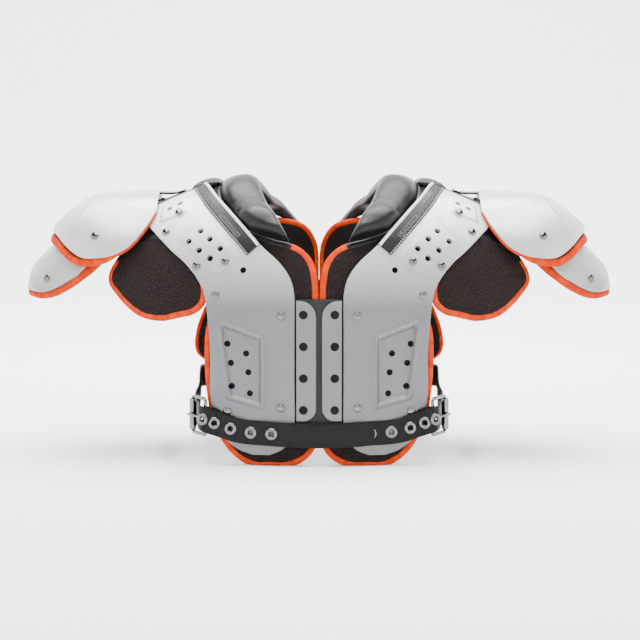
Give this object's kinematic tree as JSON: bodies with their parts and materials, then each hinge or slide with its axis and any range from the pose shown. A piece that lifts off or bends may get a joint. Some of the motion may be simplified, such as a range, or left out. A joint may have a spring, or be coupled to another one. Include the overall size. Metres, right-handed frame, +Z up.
{
  "type": "football shoulder pads",
  "caption": "Football shoulder pads: silver plates, epaulets and cups over black mesh cushions with orange binding.",
  "frame": {"origin": "under the middle of the whole, on the surface that the four cushion tips stand on", "axes": "+Z up, the wearer faces -Y, +X is the wearer's left"},
  "size_m": [0.6342, 0.2718, 0.2982],
  "materials": {
    "plate": "satin silver moulded plastic",
    "flap": "satin silver moulded plastic",
    "mesh": "black spacer mesh over foam",
    "foam": "orange woven fabric over foam",
    "vinyl": "black coated fabric over foam",
    "webbing": "dark woven webbing",
    "steel": "nickel plated steel"
  },
  "bodies": {
    "torso": {"front_bridge_backing": "webbing", "back_bridge_backing": "webbing", "left_front_plate": "plate", "left_back_plate": "plate", "left_front_body_pad": "mesh", "left_back_body_pad": "mesh", "left_arch_pad": "mesh", "left_collar_pad": "vinyl", "left_neck_pad": "vinyl", "left_neck_edge_strip": "webbing", "left_epaulet_strap": "webbing", "left_front_bridge_strip": "plate", "left_back_bridge_strip": "plate", "left_buckle_strap": "webbing", "left_belt": "webbing", "right_front_plate": "plate", "right_back_plate": "plate", "right_front_body_pad": "mesh", "right_back_body_pad": "mesh", "right_arch_pad": "mesh", "right_collar_pad": "vinyl", "right_neck_pad": "vinyl", "right_neck_edge_strip": "webbing", "right_epaulet_strap": "webbing", "right_front_bridge_strip": "plate", "right_back_bridge_strip": "plate", "right_buckle_strap": "webbing", "right_belt": "webbing"},
    "left_epaulet": {"left_epaulet_shell": "flap", "left_epaulet_pad": "foam", "left_cup_strap": "webbing"},
    "left_cup": {"left_cup_shell": "flap", "left_cup_pad": "foam"},
    "left_front_deltoid": {"left_front_deltoid_pad": "mesh"},
    "left_back_deltoid": {"left_back_deltoid_pad": "mesh"},
    "left_buckle": {"left_buckle_frame": "steel"},
    "left_roller": {"left_buckle_roller": "steel"},
    "left_tongue": {"left_buckle_tongue": "steel"},
    "right_epaulet": {"right_epaulet_shell": "flap", "right_epaulet_pad": "foam", "right_cup_strap": "webbing"},
    "right_cup": {"right_cup_shell": "flap", "right_cup_pad": "foam"},
    "right_front_deltoid": {"right_front_deltoid_pad": "mesh"},
    "right_back_deltoid": {"right_back_deltoid_pad": "mesh"},
    "right_buckle": {"right_buckle_frame": "steel"},
    "right_roller": {"right_buckle_roller": "steel"},
    "right_tongue": {"right_buckle_tongue": "steel"}
  },
  "joints": [
    {"name": "left_epaulet_lift", "type": "hinge", "parent": "torso", "child": "left_epaulet", "pos_m": [0.172, 0.00368, 0.27968], "axis": [0, -1, 0], "range_deg": [0, 75]},
    {"name": "left_cup_tuck", "type": "hinge", "parent": "left_epaulet", "child": "left_cup", "pos_m": [0.23992, 0.00368, 0.24224], "axis": [0, 1, 0], "range_deg": [0, 8]},
    {"name": "left_front_deltoid_swing", "type": "hinge", "parent": "torso", "child": "left_front_deltoid", "pos_m": [0.12798, -0.10634, 0.20226], "axis": [0.5845, 0.5207, 0.6223], "range_deg": [0, 15]},
    {"name": "left_back_deltoid_swing", "type": "hinge", "parent": "torso", "child": "left_back_deltoid", "pos_m": [0.12708, 0.11063, 0.20147], "axis": [-0.5927, 0.5201, -0.615], "range_deg": [0, 15]},
    {"name": "left_buckle_swing", "type": "hinge", "parent": "torso", "child": "left_buckle", "pos_m": [0.118, -0.12032, 0.05], "axis": [0, 0, -1], "range_deg": [0, 12]},
    {"name": "left_roller_turn", "type": "hinge", "parent": "left_buckle", "child": "left_roller", "pos_m": [0.13254, -0.09408, 0.05], "axis": [0, 0, 1], "continuous": true},
    {"name": "left_tongue_lift", "type": "hinge", "parent": "left_buckle", "child": "left_tongue", "pos_m": [0.118, -0.12032, 0.05], "axis": [0, 0, -1], "range_deg": [0, 30]},
    {"name": "right_epaulet_lift", "type": "hinge", "parent": "torso", "child": "right_epaulet", "pos_m": [-0.172, 0.00368, 0.27968], "axis": [0, 1, 0], "range_deg": [0, 75]},
    {"name": "right_cup_tuck", "type": "hinge", "parent": "right_epaulet", "child": "right_cup", "pos_m": [-0.23992, 0.00368, 0.24224], "axis": [0, -1, 0], "range_deg": [0, 8]},
    {"name": "right_front_deltoid_swing", "type": "hinge", "parent": "torso", "child": "right_front_deltoid", "pos_m": [-0.12798, -0.10634, 0.20226], "axis": [0.5845, -0.5207, -0.6223], "range_deg": [0, 15]},
    {"name": "right_back_deltoid_swing", "type": "hinge", "parent": "torso", "child": "right_back_deltoid", "pos_m": [-0.12708, 0.11063, 0.20147], "axis": [-0.5927, -0.5201, 0.615], "range_deg": [0, 15]},
    {"name": "right_buckle_swing", "type": "hinge", "parent": "torso", "child": "right_buckle", "pos_m": [-0.118, -0.12032, 0.05], "axis": [0, 0, 1], "range_deg": [0, 12]},
    {"name": "right_roller_turn", "type": "hinge", "parent": "right_buckle", "child": "right_roller", "pos_m": [-0.13254, -0.09408, 0.05], "axis": [0, 0, 1], "continuous": true},
    {"name": "right_tongue_lift", "type": "hinge", "parent": "right_buckle", "child": "right_tongue", "pos_m": [-0.118, -0.12032, 0.05], "axis": [0, 0, 1], "range_deg": [0, 30]}
  ]
}
